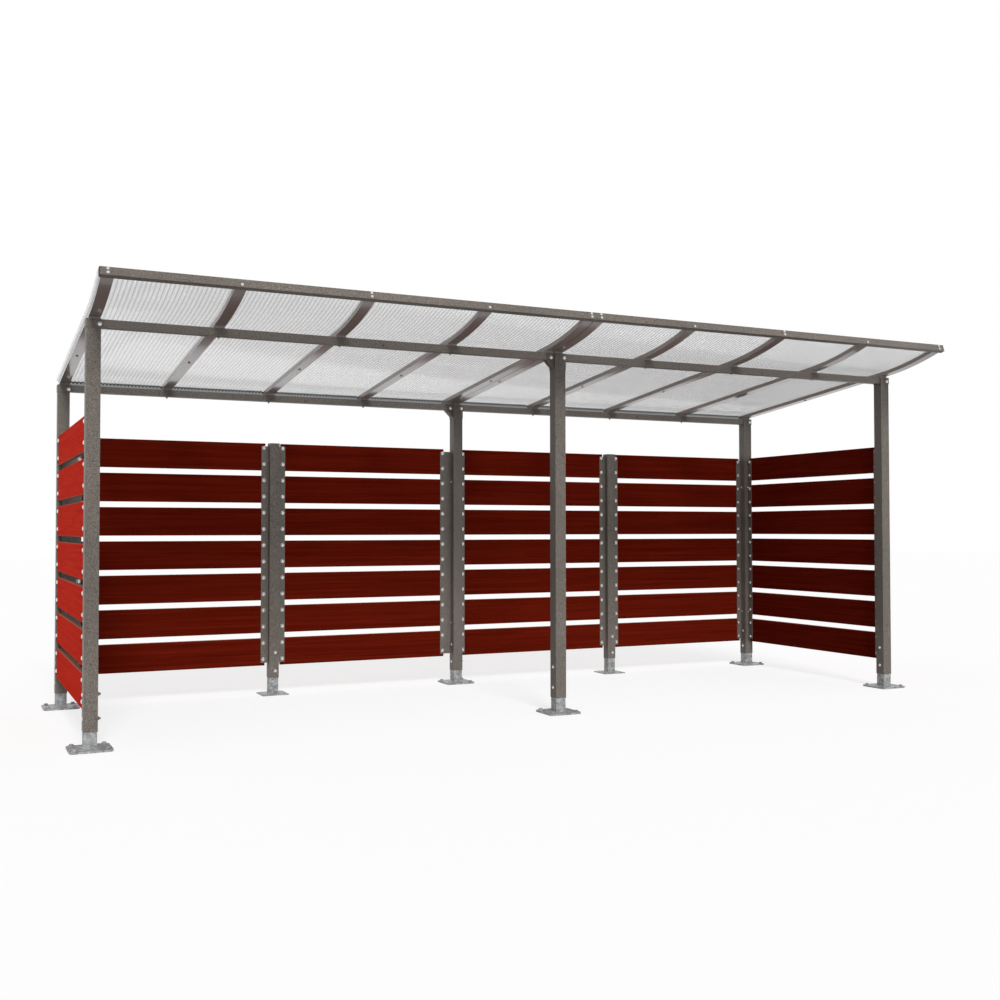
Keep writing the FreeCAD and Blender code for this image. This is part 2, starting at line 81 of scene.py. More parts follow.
# The line of the roof: the underside of the rafters, straight from the rear and then up an arc.
ROOF_SLOPE = math.atan((FRONT_TOP - REAR_TOP) / (REAR_Y - FRONT_Y))
ROOF_END_SLOPE = ROOF_SLOPE + math.radians(13.3)
ROOF_RADIUS = 2.040
SADDLE_RISE = 0.006
RAFTER_THICK = 0.024
ROOF_REAR = REAR_Y + 0.050
ARC_Y = FRONT_Y - HALF_BEAM + ROOF_RADIUS * math.sin(ROOF_SLOPE)
ARC_Z = FRONT_TOP + SADDLE_RISE + HALF_BEAM * math.tan(ROOF_SLOPE) + ROOF_RADIUS * math.cos(ROOF_SLOPE)
WAVES_PER_SHEET = 60
WAVE_STEPS = 8
ROOF_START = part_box("roof_sheet_1")[0].x
WAVE_PITCH = (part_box("roof_sheet_1")[1].x - ROOF_START) / WAVES_PER_SHEET
WAVE_HEIGHT = 0.0064
SHEET_THICK = 0.0012
SHEET_MIDDLE = RAFTER_THICK + WAVE_HEIGHT / 2 + SHEET_THICK / 2
ARC_STEPS = 14
STRAIGHT_STEPS = 4

BOARDS = 7
BOARD_HEIGHT = 0.173
BOARD_PITCH = 0.207
BOARD_BOLTS = (0.029, 0.1325)
BOARD_CHAMFER = 0.0018
PLATE_EDGE = 0.0165

RAFTER_X = [x / 1000 for x in (-2496, -1902.75, -1268.5, -634.25, -30, 30, 634.25, 1268.5, 1902.75, 2496)]


def linear(red, green, blue):
    """A display colour, 0 to 255, as the linear colour that a shader takes."""
    values = []
    for part in (red, green, blue):
        value = part / 255
        values.append(value / 12.92 if value <= 0.04045 else ((value + 0.055) / 1.055) ** 2.4)
    return (*values, 1.0)


class Finish:
    """A material built from nodes round one Principled shader."""

    def __init__(self, name, colour, roughness, metallic=0.0, **sockets):
        self.material = bpy.data.materials.new(name)
        self.material.use_nodes = True
        self.tree = self.material.node_tree
        self.shader = self.tree.nodes["Principled BSDF"]
        self.shader.inputs["Base Color"].default_value = colour
        self.shader.inputs["Roughness"].default_value = roughness
        self.shader.inputs["Metallic"].default_value = metallic
        for socket, value in sockets.items():
            self.shader.inputs[socket.replace("_", " ")].default_value = value
        self.place = self.tree.nodes.new("ShaderNodeTexCoord").outputs["Object"]

    def link(self, output, node, socket):
        self.tree.links.new(output, node.inputs[socket])

    def stretched(self, scale):
        """Object coordinates in metres, times a scale along each axis."""
        node = self.tree.nodes.new("ShaderNodeMapping")
        node.inputs["Scale"].default_value = scale
        self.link(self.place, node, "Vector")
        return node.outputs["Vector"]

    def noise(self, scale, detail=2.0, rough=0.5, twist=0.0, place=None):
        node = self.tree.nodes.new("ShaderNodeTexNoise")
        node.inputs["Scale"].default_value = scale
        node.inputs["Detail"].default_value = detail
        node.inputs["Roughness"].default_value = rough
        node.inputs["Distortion"].default_value = twist
        self.link(place or self.place, node, "Vector")
        return node.outputs["Fac"]

    def cells(self, scale):
        """Flat cells of random grey, as of zinc crystals."""
        node = self.tree.nodes.new("ShaderNodeTexVoronoi")
        node.inputs["Scale"].default_value = scale
        self.link(self.place, node, "Vector")
        return node.outputs["Color"]

    def ramp(self, value, *stops):
        node = self.tree.nodes.new("ShaderNodeValToRGB")
        ramp = node.color_ramp
        while len(ramp.elements) < len(stops):
            ramp.elements.new(0.5)
        for element, (position, colour) in zip(ramp.elements, stops):
            element.position = position
            element.color = colour
        self.link(value, node, "Fac")
        return node.outputs["Color"]

    def mix(self, first, second, factor, kind="MIX"):
        node = self.tree.nodes.new("ShaderNodeMix")
        node.data_type = "RGBA"
        node.blend_type = kind
        if isinstance(factor, float):
            node.inputs[0].default_value = factor
        else:
            self.link(factor, node, 0)
        self.link(first, node, 6)
        self.link(second, node, 7)
        return node.outputs[2]

    def grey(self, value, low, high):
        """A value of 0 to 1 spread between two others."""
        node = self.tree.nodes.new("ShaderNodeMapRange")
        node.inputs["To Min"].default_value = low
        node.inputs["To Max"].default_value = high
        self.link(value, node, "Value")
        return node.outputs["Result"]

    def unit(self, value):
        """A value of -1 to 1 brought to 0 to 1."""
        node = self.tree.nodes.new("ShaderNodeMapRange")
        node.inputs["From Min"].default_value = -1
        self.link(value, node, "Value")
        return node.outputs["Result"]

    def bump(self, height, strength, distance):
        node = self.tree.nodes.new("ShaderNodeBump")
        node.inputs["Strength"].default_value = strength
        node.inputs["Distance"].default_value = distance
        self.link(height, node, "Height")
        self.link(node.outputs["Normal"], self.shader, "Normal")


def powder_coat(name, dark, light, roughness, grain, **sockets):
    """Sandy powder coat: fine light specks, a faint broad drift of tone and a pebbled surface."""
    finish = Finish(name, light, roughness, **sockets)
    specks = finish.noise(210, 3.0, 0.7)
    drift = finish.noise(1.6, 2.0)
    coat = finish.ramp(specks, (0.38, dark), (0.62, light))
    shade = finish.ramp(drift, (0.34, (0.78, 0.77, 0.76, 1)), (0.66, (1, 1, 1, 1)))
    finish.link(finish.mix(coat, shade, 1.0, "MULTIPLY"), finish.shader, "Base Color")
    finish.link(finish.grey(specks, roughness + 0.08, roughness - 0.08), finish.shader, "Roughness")
    finish.bump(finish.noise(900, 2.0, 0.6), grain, 0.0004)
    return finish.material


def zinc_coat(name):
    """Hot-dip galvanising: crystals of several greys under a cloudy bloom."""
    finish = Finish(name, linear(168, 170, 170), 0.5, 0.3)
    crystals = finish.ramp(finish.cells(110), (0.2, linear(132, 135, 136)), (0.8, linear(196, 198, 198)))
    bloom = finish.noise(46, 4.0, 0.6)
    cloud = finish.ramp(bloom, (0.38, linear(112, 114, 114)), (0.64, linear(202, 203, 202)))
    finish.link(finish.mix(crystals, cloud, 0.5), finish.shader, "Base Color")
    finish.link(finish.grey(bloom, 0.62, 0.38), finish.shader, "Roughness")
    finish.bump(finish.noise(160, 3.0), 0.25, 0.0006)
    return finish.material


def board_face(name, along, dark, middle, light):
    """Stained boards: long streaks of grain along the board, with fine pores."""
    finish = Finish(name, middle, 0.6, IOR=1.03)
    stretch = (1.3, 78, 78) if along == "X" else (78, 1.3, 78)
    fine = (7, 300, 300) if along == "X" else (300, 7, 300)
    streaks = finish.noise(1.0, 5.0, 0.62, 0.5, finish.stretched(stretch))
    pores = finish.noise(1.0, 3.0, 0.6, 0.0, finish.stretched(fine))
    wood = finish.ramp(streaks, (0.28, dark), (0.5, middle), (0.74, light))
    lines = finish.ramp(pores, (0.3, (0.72, 0.72, 0.72, 1)), (0.56, (1, 1, 1, 1)))
    finish.link(finish.mix(wood, lines, 0.8, "MULTIPLY"), finish.shader, "Base Color")
    finish.link(finish.grey(streaks, 0.52, 0.7), finish.shader, "Roughness")
    finish.bump(pores, 0.3, 0.0005)
    return finish.material


def ribbed_sheet(name, valley_shade, crest, roughness, alpha):
    """Clear sheet with a line of painted shade in the valley of each of its waves."""
    finish = Finish(name, crest, roughness, Alpha=alpha, Transmission_Weight=0.45)
    split = finish.tree.nodes.new("ShaderNodeSeparateXYZ")
    finish.link(finish.place, split, "Vector")
    turns = finish.tree.nodes.new("ShaderNodeMath")
    turns.operation = "MULTIPLY_ADD"
    turns.inputs[1].default_value = math.tau / WAVE_PITCH
    turns.inputs[2].default_value = -math.tau * ROOF_START / WAVE_PITCH
    finish.link(split.outputs["X"], turns, 0)
    wave = finish.tree.nodes.new("ShaderNodeMath")
    wave.operation = "COSINE"
    finish.link(turns.outputs[0], wave, 0)
    lines = finish.ramp(finish.unit(wave.outputs[0]), (0.1, valley_shade), (0.7, crest))
    finish.link(lines, finish.shader, "Base Color")
    haze = finish.noise(5, 2.0)
    finish.link(finish.grey(haze, roughness * 0.8, roughness * 1.2), finish.shader, "Roughness")
    return finish.material


def plain(name, colour, roughness, metallic=0.0, spread=0.12, scale=240, **sockets):
    """A smooth finish whose tone and gloss vary a little."""
    finish = Finish(name, colour, roughness, metallic, **sockets)
    cloud = finish.noise(scale, 3.0)
    low = tuple(part * (1 - spread) for part in colour[:3]) + (1.0,)
    high = tuple(min(1.0, part * (1 + spread)) for part in colour[:3]) + (1.0,)
    finish.link(finish.ramp(cloud, (0.3, low), (0.7, high)), finish.shader, "Base Color")
    finish.link(finish.grey(cloud, roughness * 0.85, roughness * 1.15), finish.shader, "Roughness")
    return finish.material


COAT = powder_coat("coat", linear(82, 75, 69), linear(146, 138, 130), 0.50, 0.35)
RAFTER_COAT = powder_coat(
    "rafter_coat", linear(146, 131, 123), linear(172, 158, 150), 0.26, 0.02,
    Coat_Weight=0.7, Coat_Roughness=0.1,
)
ZINC = zinc_coat("zinc")
# One red stain in two copies: a darker one with painted shade for the board faces inside the shelter, and a
# brighter one with painted light for the faces outside.
INSIDE_PAINTED_SHADE = (linear(88, 18, 7), linear(106, 25, 11), linear(122, 34, 17))
OUTSIDE_PAINTED_LIGHT = (linear(234, 42, 24), linear(252, 52, 31), linear(255, 70, 46))
BOARD_X_IN_PAINTED_SHADE = board_face("board_along_x_inside_painted_shade", "X", *INSIDE_PAINTED_SHADE)
BOARD_X_OUT_PAINTED_LIGHT = board_face("board_along_x_outside_painted_light", "X", *OUTSIDE_PAINTED_LIGHT)
BOARD_Y_IN_PAINTED_SHADE = board_face("board_along_y_inside_painted_shade", "Y", *INSIDE_PAINTED_SHADE)
BOARD_Y_OUT_PAINTED_LIGHT = board_face("board_along_y_outside_painted_light", "Y", *OUTSIDE_PAINTED_LIGHT)
BOARD_EDGE = plain("board_edge", linear(142, 84, 58), 0.7, 0.0, 0.25, 120)
STAINLESS = plain("stainless", linear(226, 226, 224), 0.34, 1.0)
# The nuts' steel is darkened with painted shade, standing in for the dark reflections round them.
NUT_STEEL_PAINTED_SHADE = plain("nut_steel_painted_shade", linear(128, 126, 122), 0.42, 1.0)
PLASTIC = plain("black_plastic", linear(34, 34, 35), 0.45)
GREY_TRIM = plain("grey_trim", linear(176, 178, 180), 0.5)
# The dark valley colour is painted shade in the creases of the waves.
SHEET = ribbed_sheet("roof_sheet", linear(78, 83, 89), linear(249, 250, 251), 0.09, 0.34)

for name, node in nodes.items():
    if name.startswith("rafter_"):
        finish = RAFTER_COAT
    elif name.endswith("_feet"):
        finish = ZINC
    # The original wall nodes take the stain with painted shade.
    elif "wall" in name:
        finish = BOARD_X_IN_PAINTED_SHADE
    elif name.startswith("roof_sheet"):
        finish = SHEET
    else:
        finish = COAT
    node.data.materials.clear()
    node.data.materials.append(finish)


def keep(name, mesh, materials, stands_for=(), sharp=None):
    """Links a mesh as a piece of the shelter."""
    for material in materials:
        mesh.materials.append(material)
    if sharp is not None:
        for face in mesh.polygons:
            face.use_smooth = True
        mesh.set_sharp_from_angle(angle=math.radians(sharp))
    piece = bpy.data.objects.new(name, mesh)
    bpy.context.scene.collection.objects.link(piece)
    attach(piece, "root")
    if stands_for:
        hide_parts(*stands_for)
    return piece


def close(name, form):
    """A mesh from a finished bmesh, with its faces turned outwards."""
    bmesh.ops.recalc_face_normals(form, faces=form.faces)
    mesh = bpy.data.meshes.new(name)
    form.to_mesh(mesh)
    form.free()
    return mesh


def turned(form, centre, axis, profile, sides=14):
    """Adds a turned form, its profile (radius, height) pairs in millimetres up its axis."""
    axis = Vector(axis).normalized()
    across = axis.orthogonal().normalized()
    along = axis.cross(across)
    rings = []
    for radius, height in profile:
        middle = Vector(centre) + axis * height / 1000
        ring = []
        for step in range(sides if radius else 1):
            angle = math.tau * step / sides
            reach = (across * math.cos(angle) + along * math.sin(angle)) * radius / 1000
            ring.append(form.verts.new(middle + reach))
        rings.append(ring)
    for low, high in zip(rings, rings[1:]):
        for step in range(sides):
            corners = [low[step % len(low)], low[(step + 1) % len(low)]]
            corners += [high[(step + 1) % len(high)], high[step % len(high)]]
            form.faces.new(list(dict.fromkeys(corners)))


DOME = [(0, 0), (12.4, 0), (12.4, 1.6), (11, 1.6), (10.6, 3.6), (8.8, 6.2), (5, 7.9), (0, 8.4)]
SMALL_DOME = [(0, 0), (6.4, 0), (6.2, 1.6), (4.6, 3.2), (2.4, 3.9), (0, 4.1)]
WASHER = [(0, 0), (11, 0), (11, 1.8), (0, 1.8)]
NUT = [(0, 1.8), (9, 1.8), (9.4, 2.6), (9.4, 9), (9, 9.8), (0, 9.8)]
SHANK = [(0, 9), (5, 9), (5, 15.4), (4.2, 16.4), (0, 16.4)]
ANCHOR_WASHER = [(0, 0), (15, 0), (15, 2.4), (0, 2.4)]
ANCHOR_HEAD = [(0, 2.4), (10.6, 2.4), (11.4, 3.2), (11.4, 8.6), (9.6, 10.2), (0, 10.2)]


def scaled(profile, wide, tall=None):
    """A turned profile made smaller or larger, in radius and in height."""
    tall = wide if tall is None else tall
    return [(radius * wide, height * tall) for radius, height in profile]


def nut(form, centre, axis, size=1.0):
    """A washer, a hexagon nut and the end of its bolt."""
    turned(form, centre, axis, scaled(WASHER, size))
    turned(form, centre, axis, scaled(NUT, size), 6)
    turned(form, centre, axis, scaled(SHANK, size), 10)


def anchor(form, centre):
    turned(form, centre, (0, 0, 1), ANCHOR_WASHER)
    turned(form, centre, (0, 0, 1), ANCHOR_HEAD, 6)


def roof_line():
    """Points of the rafters' underside from the front to the rear, each with its direction upwards."""
    line = []
    for step in range(ARC_STEPS + 1):
        turn = ROOF_END_SLOPE + (ROOF_SLOPE - ROOF_END_SLOPE) * step / ARC_STEPS
        up = Vector((0, math.sin(turn), math.cos(turn)))
        line.append((Vector((0, ARC_Y, ARC_Z)) - up * ROOF_RADIUS, up))
    start, up = line[-1]
    down = Vector((0, math.cos(ROOF_SLOPE), -math.sin(ROOF_SLOPE)))
    run = (ROOF_REAR - 0.0035 - start.y) / down.y
    for step in range(1, STRAIGHT_STEPS + 1):
        line.append((start + down * run * step / STRAIGHT_STEPS, up))
    return line


def corrugated(number):
    """One corrugated roof sheet: waves side by side, running down the slope."""
    node = f"roof_sheet_{number}"
    low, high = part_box(node)
    columns = WAVES_PER_SHEET * WAVE_STEPS
    points = []
    faces = []
    line = roof_line()
    for side in (SHEET_THICK / 2, -SHEET_THICK / 2):
        for column in range(columns + 1):
            x = low.x + (high.x - low.x) * column / columns
            wave = math.cos(math.tau * column / WAVE_STEPS) * WAVE_HEIGHT / 2
            for place, up in line:
                spot = place + up * (SHEET_MIDDLE + wave + side)
                points.append((x, spot.y, spot.z))
    rows = len(line)
    under = (columns + 1) * rows
    for column in range(columns):
        for row in range(rows - 1):
            a = column * rows + row
            quad = (a, a + 1, a + rows + 1, a + rows)
            faces.append(quad)
            faces.append(tuple(under + corner for corner in reversed(quad)))
    for column in range(columns):
        for row in (0, rows - 1):
            a = column * rows + row
            faces.append((a, a + rows, under + a + rows, under + a))
    for column in (0, columns):
        for row in range(rows - 1):
            a = column * rows + row
            faces.append((a, a + 1, under + a + 1, under + a))
    mesh = bpy.data.meshes.new(node)
    mesh.from_pydata(points, [], faces)
    mesh.update()
    form = bmesh.new()
    form.from_mesh(mesh)
    bmesh.ops.recalc_face_normals(form, faces=form.faces)
    form.to_mesh(mesh)
    form.free()
    keep(f"corrugated_{number}", mesh, [SHEET], (node,), 50)


for number in (1, 2, 3, 4):
    corrugated(number)


def slatted(node, along, near_face, far_face):
    """A wall of boards with chamfered long edges: stained faces whose two materials carry painted shade on
    the inner side and painted light on the outer side, and bare edges.
    """
    stain_and_painted_light = {6: 0, 2: 1}
    low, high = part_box(node)
    form = bmesh.new()
    if along == "X":
        near, far, start, end = low.y, high.y, low.x, high.x
    else:
        near, far, start, end = low.x, high.x, low.y, high.y
    cut = BOARD_CHAMFER
    for board in range(BOARDS):
        bottom = low.z + board * BOARD_PITCH
        top = bottom + BOARD_HEIGHT
        outline = [
            (near + cut, bottom), (far - cut, bottom), (far, bottom + cut), (far, top - cut),
            (far - cut, top), (near + cut, top), (near, top - cut), (near, bottom + cut),
        ]
        ends = []
        for place in (start, end):
            if along == "X":
                ends.append([form.verts.new((place, deep, level)) for deep, level in outline])
            else:
                ends.append([form.verts.new((deep, place, level)) for deep, level in outline])
        for corner in range(8):
            following = (corner + 1) % 8
            quad = [ends[0][corner], ends[0][following], ends[1][following], ends[1][corner]]
            form.faces.new(quad).material_index = stain_and_painted_light.get(corner, 2)
        for outline_end in ends:
            form.faces.new(outline_end).material_index = 2
    keep(f"boards_{node}", close(node, form), [near_face, far_face, BOARD_EDGE], (node,))


# Inner faces take the stain with painted shade, outer faces the stain with painted light.
for node in ("back_wall_left_a", "back_wall_left_b", "back_wall_right_a", "back_wall_right_b"):
    slatted(node, "X", BOARD_X_IN_PAINTED_SHADE, BOARD_X_OUT_PAINTED_LIGHT)
slatted("side_wall_left", "Y", BOARD_Y_OUT_PAINTED_LIGHT, BOARD_Y_IN_PAINTED_SHADE)
slatted("side_wall_right", "Y", BOARD_Y_IN_PAINTED_SHADE, BOARD_Y_OUT_PAINTED_LIGHT)

# Bolts through the boards and the plates behind them: a dome on the plate and one on the board.
PLATE_REACH = 0.039
wall_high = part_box("back_wall_left_a")[1]
BOARD_LEVELS = []
for board in range(BOARDS):
    top = wall_high.z - board * BOARD_PITCH
    BOARD_LEVELS += [top - offset for offset in BOARD_BOLTS]
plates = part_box("short_post_carriers")
back_plate_x = [
    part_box("rear_carriers_left")[1].x - PLATE_EDGE,
    plates[0].x + PLATE_EDGE,
    SHORT_LEFT_X * 2 - plates[0].x - PLATE_EDGE,
    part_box("rear_carriers_middle")[0].x + PLATE_EDGE,
    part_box("rear_carriers_middle")[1].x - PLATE_EDGE,
    SHORT_RIGHT_X * 2 - plates[1].x + PLATE_EDGE,
    plates[1].x - PLATE_EDGE,
    RIGHT_X - HALF_POST - PLATE_REACH + PLATE_EDGE,
]
form = bmesh.new()
for x in back_plate_x:
    for level in BOARD_LEVELS:
        turned(form, (x, plates[0].y, level), (0, -1, 0), DOME)
        turned(form, (x, wall_high.y, level), (0, 1, 0), DOME)
keep("back_wall_bolts", close("back_wall_bolts", form), [STAINLESS], (), 40)

# The bolts of the end walls sit a little further in, and their inner domes on the plates.
SIDE_PLATE_EDGE = PLATE_EDGE + 0.003
PLATE_THICK = 0.005
side_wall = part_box("side_wall_left")
front_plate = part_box("front_carriers")
rear_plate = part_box("rear_carriers_left")
form = bmesh.new()
for side in (-1, 1):
    for y in (front_plate[1].y - SIDE_PLATE_EDGE, rear_plate[0].y + SIDE_PLATE_EDGE):
        for level in BOARD_LEVELS:
            turned(form, (side * -side_wall[0].x, y, level), (side, 0, 0), DOME)
            turned(form, (side * (-side_wall[1].x - PLATE_THICK), y, level), (-side, 0, 0), DOME)
keep("side_wall_bolts", close("side_wall_bolts", form), [STAINLESS], (), 40)

BRACKET_LEVELS = (0.411, 1.373)
STUB_LEVELS = (0.262, 0.146)
SHORT_STUB_LEVELS = (0.265, 0.149)
SHORT_BOLT_SHIFT = 0.008
BRACKET_SHIFT = 0.009
FRAME_BOLT = scaled(DOME, 0.8)
RAIL_BOLT = 0.66

# Bolts of the frame: post heads, beams, foot stubs and the small screws of the plates' brackets.
form = bmesh.new()
nuts = bmesh.new()
for x, y, half, level in (
    (LEFT_X + 0.027, FRONT_Y, HALF_HEAD, FRONT_TOP - 0.025),
    (MIDDLE_X + 0.025, FRONT_Y, HALF_HEAD, FRONT_TOP - 0.025),
    (MIDDLE_X - 0.055, FRONT_Y, HALF_BEAM, FRONT_TOP - 0.026),
    (RIGHT_X + 0.016, FRONT_Y, HALF_HEAD, FRONT_TOP - 0.025),
    (LEFT_X + 0.027, REAR_Y, HALF_HEAD, REAR_TOP - 0.027),
    (MIDDLE_X + 0.025, REAR_Y, HALF_HEAD, REAR_TOP - 0.026),
    (MIDDLE_X - 0.053, REAR_Y, HALF_BEAM, REAR_TOP - 0.027),
    (RIGHT_X + 0.019, REAR_Y, HALF_HEAD, REAR_TOP - 0.023),
):
    turned(form, (x, y - half, level), (0, -1, 0), FRAME_BOLT)
    nut(nuts, (x, y + half, level), (0, 1, 0))
for x in (LEFT_X, MIDDLE_X, RIGHT_X):
    for y in (FRONT_Y, REAR_Y):
        for level in STUB_LEVELS:
            turned(form, (x - HALF_POST, y, level), (-1, 0, 0), FRAME_BOLT)
            nut(nuts, (x + HALF_POST, y, level), (1, 0, 0))
for x in (SHORT_LEFT_X + SHORT_BOLT_SHIFT, SHORT_RIGHT_X + SHORT_BOLT_SHIFT):
    for level in SHORT_STUB_LEVELS:
        turned(form, (x, SHORT_Y - HALF_SHORT, level), (0, -1, 0), FRAME_BOLT)
        nut(nuts, (x, SHORT_Y + HALF_SHORT, level), (0, 1, 0))
for level in BRACKET_LEVELS:
    turned(form, (RIGHT_X, REAR_Y - HALF_POST, level), (0, -1, 0), SMALL_DOME)
    for x in (LEFT_X, MIDDLE_X, RIGHT_X):
        turned(form, (x - HALF_POST, REAR_Y + BRACKET_SHIFT, level), (-1, 0, 0), SMALL_DOME)
for x in RAFTER_X[1:4] + RAFTER_X[6:9]:
    nut(nuts, (x, FRONT_Y, FRONT_TOP - BEAM_DROP), (0, 0, -1), RAIL_BOLT)
    nut(nuts, (x, REAR_Y, REAR_TOP - BEAM_DROP), (0, 0, -1), RAIL_BOLT)
keep("frame_bolts", close("frame_bolts", form), [STAINLESS], (), 40)
keep("frame_nuts", close("frame_nuts", nuts), [NUT_STEEL_PAINTED_SHADE], (), 40)

# Coated screws in the front of the outer front posts.
form = bmesh.new()
for level in BRACKET_LEVELS:
    for x in (LEFT_X, RIGHT_X):
        turned(form, (x, FRONT_Y - HALF_POST, level), (0, -1, 0), SMALL_DOME)
keep("coated_screws", close("coated_screws", form), [COAT], (), 40)

# Screws under the rafters at mid-span.
SPAN_SCREW = 0.750
form = bmesh.new()
level = FRONT_TOP + SADDLE_RISE - SPAN_SCREW * math.tan(ROOF_SLOPE)
for x in RAFTER_X:
    turned(form, (x, FRONT_Y + SPAN_SCREW, level), (0, 0, -1), scaled(DOME, 0.6))
keep("rafter_screws", close("rafter_screws", form), [COAT], (), 40)

# The fascia leans back at the end slope of the roof: its bolts and end caps lean with it.
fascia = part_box("fascia_left")
UP = Vector((0, math.sin(ROOF_END_SLOPE), math.cos(ROOF_END_SLOPE)))
OUT = Vector((0, -math.cos(ROOF_END_SLOPE), math.sin(ROOF_END_SLOPE)))
FASCIA_DROP = 0.041
FASCIA_DEPTH = 0.028
FASCIA_BOLT_CLIMBS = (0.014, 0.033)
PAIRED_BOLTS = (0, 2, 4, 5, 7, 9)
corner = Vector((0, fascia[0].y, fascia[1].z - FASCIA_DROP * UP.z))
form = bmesh.new()
for rafter, x in enumerate(RAFTER_X):
    for climb in FASCIA_BOLT_CLIMBS if rafter in PAIRED_BOLTS else FASCIA_BOLT_CLIMBS[:1]:
        turned(form, corner + UP * climb + Vector((x, 0, 0)), OUT, scaled(DOME, 0.57, 0.42))
keep("fascia_bolts", close("fascia_bolts", form), [STAINLESS], (), 40)

form = bmesh.new()
rim = 0.0028
for end, side in ((fascia[0].x, -1), (-fascia[0].x, 1)):
    outline = []
    for climb, depth, turn in (
        (rim, rim, 180), (rim, FASCIA_DEPTH - rim, 270),
        (FASCIA_DROP - rim, FASCIA_DEPTH - rim, 0), (FASCIA_DROP - rim, rim, 90),
    ):
        for step in range(4):
            angle = math.radians(turn + 30 * step)
            outline.append((climb + rim * math.cos(angle), depth - rim * math.sin(angle)))
    rings = []
    for out, shrink in ((0, 1.0), (0.0026, 1.0), (0.0036, 0.93)):
        ring = []
        for climb, depth in outline:
            lift = FASCIA_DROP / 2 + (climb - FASCIA_DROP / 2) * shrink
            back = FASCIA_DEPTH / 2 + (depth - FASCIA_DEPTH / 2) * shrink
            ring.append(form.verts.new(corner + UP * lift - OUT * back + Vector((end + side * out, 0, 0))))
        rings.append(ring)
    for low, high in zip(rings, rings[1:]):
        for step in range(len(low)):
            after = (step + 1) % len(low)
            form.faces.new([low[step], low[after], high[after], high[step]])
    form.faces.new(rings[0])
    form.faces.new(rings[-1])
keep("fascia_caps", close("fascia_caps", form), [PLASTIC])

# Fillers under the rear edge of the sheets: dark foam in the waves over a grey strip; the foam's black also
# stands in for the shadow line under the sheets' edge, as painted shadow.
rear_edge, rear_up = roof_line()[-1]
DOWN = Vector((0, math.cos(ROOF_SLOPE), -math.sin(ROOF_SLOPE)))
FOAM_TALL = 0.010
FOAM_WAVE = 0.012
STRIP_FOOT = 0.001
FILLER_BACK = 0.014
FILLER_FRONT = 0.004


def rear_strip(form, start, end, foot, head):
    """An upright strip along the rear edge between two rafters, whose foot and head may follow the waves."""
    steps = max(2, round((end - start) / WAVE_PITCH * WAVE_STEPS))
    rings = []
    for step in range(steps + 1):
        x = start + (end - start) * step / steps
        ring = []
        for back, lift in (
            (FILLER_BACK, foot(x)), (FILLER_FRONT, foot(x)),
            (FILLER_FRONT, head(x)), (FILLER_BACK, head(x)),
        ):
            place = rear_edge - DOWN * back + rear_up * lift
            ring.append(form.verts.new((x, place.y, place.z)))
        rings.append(ring)
    for before, after in zip(rings, rings[1:]):
        for side in range(4):
            following = (side + 1) % 4
            form.faces.new([before[side], before[following], after[following], after[side]])
    form.faces.new(rings[0])
    form.faces.new(rings[-1])


def under_wave(x, height=WAVE_HEIGHT):
    wave = math.cos(math.tau * (x - ROOF_START) / WAVE_PITCH) * height / 2
    return SHEET_MIDDLE + wave - SHEET_THICK / 2


def foam_foot(x):
    return under_wave(x, FOAM_WAVE) - FOAM_TALL


def strip_foot(x):
    return STRIP_FOOT


foam_and_painted_shadow = bmesh.new()
strip = bmesh.new()
for left, right in zip(RAFTER_X, RAFTER_X[1:]):
    if right - left > 0.1:
        rear_strip(foam_and_painted_shadow, left + HALF_RAFTER, right - HALF_RAFTER, foam_foot, under_wave)
        rear_strip(strip, left + HALF_RAFTER, right - HALF_RAFTER, strip_foot, foam_foot)
# The black of the foam is partly painted shadow under the sheets' rear edge.
keep("rear_foam_and_painted_shadow", close("rear_foam_and_painted_shadow", foam_and_painted_shadow), [PLASTIC])
keep("rear_strips", close("rear_strips", strip), [GREY_TRIM])

# Small plugged holes in the beams' front faces.
PLUG = [(0, 0), (5, 0), (5, 0.8), (3.6, 1.2), (0, 0.4)]
form = bmesh.new()
for x, y, level in (
    (-1.035, FRONT_Y, FRONT_TOP - 0.028),
    (1.489, FRONT_Y, FRONT_TOP - 0.029),
    (-1.033, REAR_Y, REAR_TOP - 0.027),
    (1.495, REAR_Y, REAR_TOP - 0.026),
):
    turned(form, (x, y - HALF_BEAM, level), (0, -1, 0), PLUG)
keep("beam_plugs", close("beam_plugs", form), [PLASTIC])

# Ground anchors and weld beads of the feet.
PLATE_TOP = 0.010
SHORT_PLATE_TOP = 0.006
HALF_PITCH = 0.075
SHORT_HALF_PITCH = 0.060
form = bmesh.new()
for x in (LEFT_X, MIDDLE_X, RIGHT_X):
    for y in (FRONT_Y, REAR_Y):
        for dx in (-HALF_PITCH, HALF_PITCH):
            for dy in (-HALF_PITCH, HALF_PITCH):
                anchor(form, (x + dx, y + dy, PLATE_TOP))
for x in (SHORT_LEFT_X, SHORT_RIGHT_X):
    for dx in (-SHORT_HALF_PITCH, SHORT_HALF_PITCH):
        for dy in (-SHORT_HALF_PITCH, SHORT_HALF_PITCH):
            turned(form, (x + dx, SHORT_Y + dy, SHORT_PLATE_TOP), (0, 0, 1), SMALL_DOME)
keep("ground_anchors", close("ground_anchors", form), [ZINC], (), 40)


